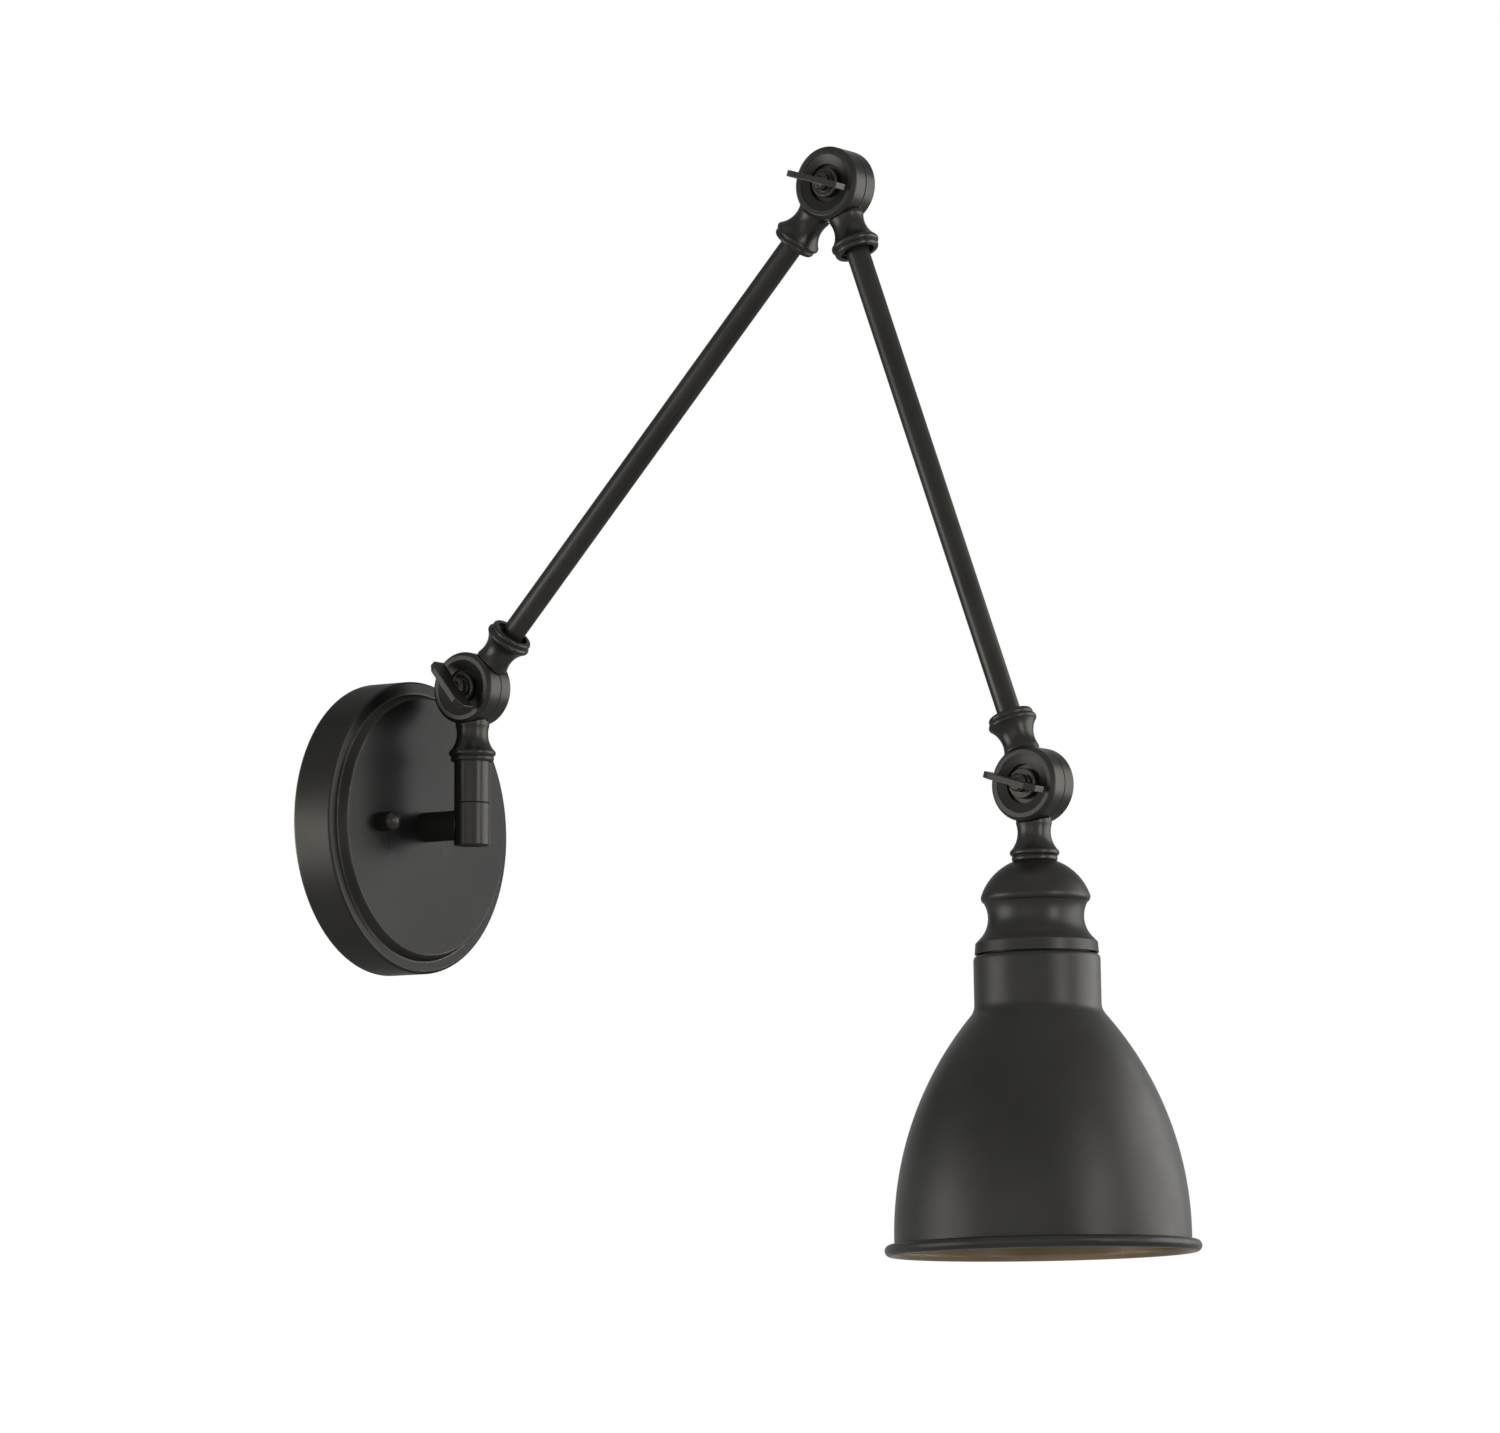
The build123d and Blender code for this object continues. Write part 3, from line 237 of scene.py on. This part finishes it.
# Lamp head: its axis from the record's socket mount, and distances along it from the head hinge
JOINTS = {joint["name"]: joint for joint in frame["record"]["behaviour"]["joints"]}
MOUNTS = {mount["name"]: mount for mount in frame["record"]["mounts"]}
HEAD_HINGE = Vector(JOINTS["head_tilt"]["pos_m"])
LAMP_AXIS = Vector(MOUNTS["lamp_socket"]["axis"]).normalized()
SHELL_TOP = 0.0600
SHELL_END = 0.0900
SHELL_SHEET = 0.0005
SHELL_ROOT_RADIUS = 0.0133
SHELL_CREST_RADIUS = 0.0127
SHELL_FLOOR_HOLE = 0.0070
SHELL_PITCH = 0.00363
SHELL_STEPS_PER_TURN = 12
SHELL_COLUMNS = 64
SKIRT_RADIUS = 0.0196
SKIRT_THREAD_START = 0.0828
SKIRT_THREAD_END = 0.0954
SKIRT_THREAD_HEIGHT = 0.0004
SKIRT_THREAD_SUNK = SKIRT_THREAD_HEIGHT * 0.5
SKIRT_PITCH = 0.0021
SKIRT_ROOT_HALF_WIDTH = SKIRT_PITCH * 0.42
SKIRT_CREST_HALF_WIDTH = SKIRT_ROOT_HALF_WIDTH * 0.25
SKIRT_STEPS_PER_TURN = 48
SKIRT_FADE_STEPS = 12

# Studs of the wall plate
STUD_RADIUS = 0.00208
STUD_ROOT_RADIUS = 0.00176
STUD_PITCH = 0.0008
STUD_STEPS_PER_TURN = 8
STUD_COLUMNS = 20


class Tree:
    """The nodes of a material or world, with short ways to add one and feed it."""

    def __init__(self, owner):
        owner.use_nodes = True
        self.nodes = owner.node_tree.nodes
        self.links = owner.node_tree.links
        self.nodes.clear()

    def feed(self, socket, value):
        """Links an input to an output, or sets it to a constant."""
        if isinstance(value, bpy.types.NodeSocket):
            self.links.new(value, socket)
        else:
            socket.default_value = value

    def add(self, kind, inputs=None, **settings):
        node = self.nodes.new("ShaderNode" + kind)
        for name, value in settings.items():
            setattr(node, name, value)
        for key, value in (inputs or {}).items():
            self.feed(node.inputs[key], value)
        return node

    def place(self):
        return self.add("TexCoord").outputs["Object"]

    def vector(self, operation, first, second):
        node = self.add("VectorMath", {0: first, 1: second}, operation=operation)
        return node.outputs["Vector"]

    def dot(self, first, second):
        node = self.add("VectorMath", {0: first, 1: second}, operation="DOT_PRODUCT")
        return node.outputs["Value"]

    def math(self, operation, first, second):
        return self.add("Math", {0: first, 1: second}, operation=operation).outputs["Value"]

    def noise(self, scale, detail):
        inputs = {"Vector": self.place(), "Scale": scale, "Detail": detail}
        return self.add("TexNoise", inputs).outputs["Fac"]

    def remap(self, value, source, target=(0.0, 1.0)):
        """A number that goes over the target range as the value goes over the source range."""
        inputs = {"Value": value}
        inputs |= zip(("From Min", "From Max"), source)
        inputs |= zip(("To Min", "To Max"), target)
        return self.add("MapRange", inputs).outputs["Result"]

    def colour(self, finish):
        """A finish's cloudy colour."""
        ramp = self.add("ValToRGB", {"Fac": self.noise(finish.cloud_scale, CLOUD_DETAIL)})
        stops = zip(ramp.color_ramp.elements, NOISE_RANGE, (finish.dark, finish.light))
        for stop, position, colour in stops:
            stop.position = position
            stop.color = colour
        return ramp.outputs["Color"]

    def roughness(self, finish):
        """A finish's mottled roughness."""
        mottle = self.noise(finish.cloud_scale * GLOSS_SCALE, GLOSS_DETAIL)
        return self.remap(mottle, NOISE_RANGE, finish.roughness)

    def blend(self, kind, socket, factor, other):
        """Mixes another colour or number into what feeds an input."""
        before = socket.links[0].from_socket
        mix = self.add("Mix", {"Factor": factor, "A": before, "B": other}, data_type=kind)
        self.links.new(mix.outputs["Result"], socket)


def surface(name, finish, edges=True):
    """A finish's material, if wanted with slightly rounded edges, and its tree and shader."""
    material = bpy.data.materials.new(name)
    tree = Tree(material)
    grain = {
        "Strength": GRAIN_STRENGTH,
        "Distance": finish.grain_depth,
        "Height": tree.noise(finish.grain_scale, GRAIN_DETAIL),
    }
    if edges:
        rounded = tree.add("Bevel", {"Radius": EDGE_ROUND}, samples=EDGE_SAMPLES)
        grain["Normal"] = rounded.outputs["Normal"]
    look = {
        "Base Color": tree.colour(finish),
        "Roughness": tree.roughness(finish),
        "Normal": tree.add("Bump", grain).outputs["Normal"],
    }
    shader = tree.add("BsdfPrincipled", look | finish.fixed)
    tree.add("OutputMaterial", {"Surface": shader.outputs["BSDF"]})
    return material, tree, shader


def plain(name, finish):
    return surface(name, finish)[0]


def wear_and_highlight_edges(tree, shader, reach, least, most):
    """Lets the warm metal show along sharp edges, partly as wear and partly as a painted highlight,
    more in some places than in others.
    """
    rounded = tree.add("Bevel", {"Radius": reach}, samples=WEAR_AND_HIGHLIGHT_SAMPLES).outputs["Normal"]
    actual = tree.add("NewGeometry").outputs["Normal"]
    edge = tree.remap(tree.dot(rounded, actual), WEAR_AND_HIGHLIGHT_TURN)
    patches = tree.noise(WEAR_AND_HIGHLIGHT_PATCH_SCALE, WEAR_AND_HIGHLIGHT_PATCH_DETAIL)
    amount = tree.math("MULTIPLY", edge, tree.remap(patches, NOISE_RANGE, (least, most)))
    tree.blend("RGBA", shader.inputs["Base Color"], amount, WORN_AND_HIGHLIGHT_COLOUR)


def bronze_with_wear_and_highlight(name, finish, wear_and_highlight):
    material, tree, shader = surface(name, finish)
    wear_and_highlight_edges(tree, shader, *wear_and_highlight)
    return material


def plate_with_painted_shade_face():
    """The usual bronze around the rim, and on the face a darker copy of it as painted shade."""
    material, tree, shader = surface("bronze_plate", PLATE_FACE_PAINTED_SHADE)
    normal = tree.add("TexCoord").outputs["Normal"]
    squares = tree.add("SeparateXYZ", {"Vector": tree.vector("MULTIPLY", normal, normal)})
    rim = tree.remap(squares.outputs["Y"], RIM_TURN)
    tree.blend("RGBA", shader.inputs["Base Color"], rim, tree.colour(PLATE_RIM))
    tree.blend("FLOAT", shader.inputs["Roughness"], rim, tree.roughness(PLATE_RIM))
    wear_and_highlight_edges(tree, shader, *PLATE_WEAR_AND_HIGHLIGHT)
    return material


def shade_bronze():
    """Bronze outside, a little darker as painted shade; inside, where the sheet faces its own axis, a
    warmer coat made lighter as painted light.
    """
    material, tree, shader = surface("shade_finish", SHADE_OUTSIDE_PAINTED_SHADE, edges=False)
    offset = tree.vector("SUBTRACT", tree.place(), HEAD_HINGE)
    radial = tree.vector("SUBTRACT", offset, tree.vector("PROJECT", offset, LAMP_AXIS))
    facing = tree.dot(radial, tree.add("TexCoord").outputs["Normal"])
    inward = tree.math("LESS_THAN", facing, 0.0)
    tree.blend("RGBA", shader.inputs["Base Color"], inward, tree.colour(SHADE_INSIDE_COAT_AND_PAINTED_LIGHT))
    return material


SLOT_MATERIALS = {
    "bronze_finish": bronze_with_wear_and_highlight("bronze_finish", BRONZE, USUAL_WEAR_AND_HIGHLIGHT),
    "zinc_steel": plain("zinc_plate", ZINC),
    "brass": plain("brass", BRASS),
    "black_phenolic": plain("black_phenolic", PHENOLIC),
    "lead_insulation": plain("lead_insulation", INSULATION),
    "washer_fibre": plain("washer_fibre", FIBRE),
    "ground_green": plain("ground_green", GREEN_PLATING),
}
# Bronzes whose lighter edges are partly wear and partly a painted highlight
HANDLED = bronze_with_wear_and_highlight("bronze_handled", BRONZE, HANDLED_WEAR_AND_HIGHLIGHT)
SPUN = bronze_with_wear_and_highlight("bronze_spun", SPUN_BRONZE, SPUN_WEAR_AND_HIGHLIGHT)
NODE_MATERIALS = {
    "stub_tube": SPUN,
    "shade": shade_bronze(),
    "socket_cup": SPUN,
    "wall_plate": plate_with_painted_shade_face(),
    "base_thumbscrew": HANDLED,
    "elbow_thumbscrew": HANDLED,
    "head_thumbscrew": HANDLED,
}


def dress(obj, material):
    if not obj.data.materials:
        obj.data.materials.append(material)
    for slot in obj.material_slots:
        slot.link = "OBJECT"
        slot.material = material


for part in frame["record"]["subparts"]:
    name = part["node"]
    dress(frame["nodes"][name], NODE_MATERIALS.get(name, SLOT_MATERIALS[part["material_slot"]]))


def link_object(name, data):
    obj = bpy.data.objects.new(name, data)
    bpy.context.scene.collection.objects.link(obj)
    return obj


def turned_frame(origin, axis):
    """A matrix whose Z runs along the axis from the origin."""
    return Matrix.Translation(origin) @ axis.to_track_quat("Z", "Y").to_matrix().to_4x4()


def piece_from(name, matrix, rings, closed, body, slot):
    """A piece through rings of equal counts of points, closed from end to start or capped."""
    mesh = bmesh.new()
    rows = [[mesh.verts.new(matrix @ Vector(point)) for point in ring] for ring in rings]
    pairs = list(zip(rows, rows[1:]))
    if closed:
        pairs.append((rows[-1], rows[0]))
    for low, high in pairs:
        for index in range(len(low)):
            after = (index + 1) % len(low)
            mesh.faces.new((low[index], low[after], high[after], high[index]))
    if not closed:
        mesh.faces.new(rows[0][::-1])
        mesh.faces.new(rows[-1])
    bmesh.ops.recalc_face_normals(mesh, faces=mesh.faces)
    data = bpy.data.meshes.new(name)
    mesh.to_mesh(data)
    mesh.free()
    data.polygons.foreach_set("use_smooth", [True] * len(data.polygons))
    data.materials.append(SLOT_MATERIALS[slot])
    obj = link_object(name, data)
    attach(obj, body)
    return obj


def polar(radius, angle, height):
    return (radius * math.cos(angle), radius * math.sin(angle), height)


def thread_ring(height, pitch, root, crest, columns):
    """A ring of points on a rounded right-hand thread between its root and its crest."""
    ring = []
    for column in range(columns):
        angle = 2 * math.pi * column / columns
        wave = (1 + math.cos(2 * math.pi * height / pitch - angle)) / 2
        ring.append(polar(root + (crest - root) * wave, angle, height))
    return ring


def circle(radius, height, columns):
    return [polar(radius, 2 * math.pi * column / columns, height) for column in range(columns)]


def rolled_shell():
    """The lamp socket's shell, with its thread rolled into the sheet."""
    floor = SHELL_TOP + SHELL_SHEET
    wall_start = floor + SHELL_SHEET
    length = SHELL_END - wall_start
    count = round(length / SHELL_PITCH * SHELL_STEPS_PER_TURN)
    heights = [wall_start + length * step / count for step in range(count + 1)]

    def wall(height, sheet):
        root, crest = SHELL_ROOT_RADIUS + sheet, SHELL_CREST_RADIUS + sheet
        return thread_ring(height, SHELL_PITCH, root, crest, SHELL_COLUMNS)

    rings = [
        circle(SHELL_FLOOR_HOLE, SHELL_TOP, SHELL_COLUMNS),
        circle(SHELL_CREST_RADIUS + SHELL_SHEET, SHELL_TOP, SHELL_COLUMNS),
    ]
    rings += [wall(height, SHELL_SHEET) for height in heights]
    rings += [wall(height, 0.0) for height in reversed(heights)]
    rings.append(circle(SHELL_CREST_RADIUS - SHELL_SHEET, floor, SHELL_COLUMNS))
    rings.append(circle(SHELL_FLOOR_HOLE, floor, SHELL_COLUMNS))
    start = turned_frame(HEAD_HINGE, LAMP_AXIS)
    shell = piece_from("rolled_screw_shell", start, rings, True, "lamp_head", "brass")
    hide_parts("screw_shell")


def skirt_thread():
    """The thread on the lampholder's skirt, as one ridge that fades at its ends."""
    turns = (SKIRT_THREAD_END - SKIRT_THREAD_START) / SKIRT_PITCH - 1
    total = round(turns * SKIRT_STEPS_PER_TURN)
    root = SKIRT_RADIUS - SKIRT_THREAD_SUNK
    rings = []
    for step in range(total + 1):
        turn = step / SKIRT_STEPS_PER_TURN
        middle = SKIRT_THREAD_START + SKIRT_PITCH * (0.5 + turn)
        fade = min(1.0, step / SKIRT_FADE_STEPS, (total - step) / SKIRT_FADE_STEPS)
        crest = SKIRT_RADIUS + SKIRT_THREAD_HEIGHT * fade
        section = (
            (root, -SKIRT_ROOT_HALF_WIDTH),
            (crest, -SKIRT_CREST_HALF_WIDTH),
            (crest, SKIRT_CREST_HALF_WIDTH),
            (root, SKIRT_ROOT_HALF_WIDTH),
        )
        rings.append([polar(r, 2 * math.pi * turn, middle + h) for r, h in section])
    start = turned_frame(HEAD_HINGE, LAMP_AXIS)
    piece_from("lampholder_thread", start, rings, False, "lamp_head", "black_phenolic")


def threaded_studs():
    """The wall plate's studs with their thread, one piece for each."""
    low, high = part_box("mounting_studs")
    length = high.y - low.y
    count = round(length / STUD_PITCH * STUD_STEPS_PER_TURN)
    heights = [length * step / count for step in range(count + 1)]
    rings = [
        thread_ring(height, STUD_PITCH, STUD_ROOT_RADIUS, STUD_RADIUS, STUD_COLUMNS)
        for height in heights
    ]
    for side, x in (("left", low.x + STUD_RADIUS), ("right", high.x - STUD_RADIUS)):
        start = turned_frame(Vector((x, high.y, 0)), Vector((0, -1, 0)))
        stud = piece_from(f"threaded_stud_{side}", start, rings, False, "wall_mount", "zinc_steel")
        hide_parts("mounting_studs")


def studio_floor():
    """A pale disc that brightens outwards until it runs into the white around it."""
    mesh = bpy.data.meshes.new("floor")
    corners = circle(FLOOR_RADIUS, 0, FLOOR_CORNERS)
    mesh.from_pydata(corners, [], [range(len(corners))])
    floor = link_object("floor", mesh)
    floor.location.z = FLOOR_HEIGHT
    material, tree, shader = surface("floor_paper", FLOOR_PAPER, edges=False)
    distance = tree.add("VectorMath", {0: tree.place()}, operation="LENGTH").outputs["Value"]
    glow = tree.remap(distance, FLOOR_GLOW_REACH, FLOOR_GLOW)
    tree.feed(shader.inputs["Emission Strength"], glow)
    mesh.materials.append(material)


def studio_world():
    """White to the camera and to reflections, and a plain level of light to everything else."""
    world = bpy.data.worlds.new("studio")
    bpy.context.scene.world = world
    tree = Tree(world)
    path = tree.add("LightPath").outputs
    direct = tree.math("MAXIMUM", path["Is Camera Ray"], path["Is Glossy Ray"])
    seen = tree.math("MAXIMUM", direct, path["Is Transmission Ray"])
    shades = [
        tree.add("Background", {"Color": WHITE, "Strength": strength}).outputs["Background"]
        for strength in (AMBIENT_STRENGTH, SEEN_STRENGTH)
    ]
    mix = tree.add("MixShader", {0: seen, 1: shades[0], 2: shades[1]})
    tree.add("OutputWorld", {"Surface": mix.outputs["Shader"]})


def aim(obj, location, direction):
    """Stands a light or camera at a place, looking in a direction."""
    obj.location = location
    obj.rotation_mode = "QUATERNION"
    obj.rotation_quaternion = direction.to_track_quat("-Z", "Y")


def soft_lights():
    middle = (cad_box[0] + cad_box[1]) / 2
    right = Vector((math.cos(CAMERA_HEADING), -math.sin(CAMERA_HEADING), 0))
    away = Vector((math.sin(CAMERA_HEADING), math.cos(CAMERA_HEADING), 0))
    up = Vector((0, 0, 1))
    for name, (steps, width, height, power) in SOFT_LIGHTS.items():
        light = bpy.data.lights.new(name, "AREA")
        light.shape = "RECTANGLE"
        light.size = width
        light.size_y = height
        light.energy = power
        offset = right * steps[0] + away * steps[1] + up * steps[2]
        obj = link_object(name, light)
        obj.visible_camera = False
        aim(obj, middle + offset, -offset)


def photo_camera():
    data = bpy.data.cameras.new("photo_camera")
    data.lens = CAMERA_LENS
    data.sensor_width = CAMERA_SENSOR
    data.clip_end = CAMERA_FAR
    camera = link_object("photo_camera", data)
    flat = math.cos(CAMERA_PITCH)
    across = math.sin(CAMERA_HEADING) * flat
    ahead = math.cos(CAMERA_HEADING) * flat
    aim(camera, CAMERA_LOCATION, Vector((across, ahead, math.sin(CAMERA_PITCH))))
    bpy.context.scene.camera = camera


rolled_shell()
skirt_thread()
threaded_studs()
studio_floor()
studio_world()
soft_lights()
photo_camera()

scene = bpy.context.scene
scene.view_settings.view_transform = "Standard"
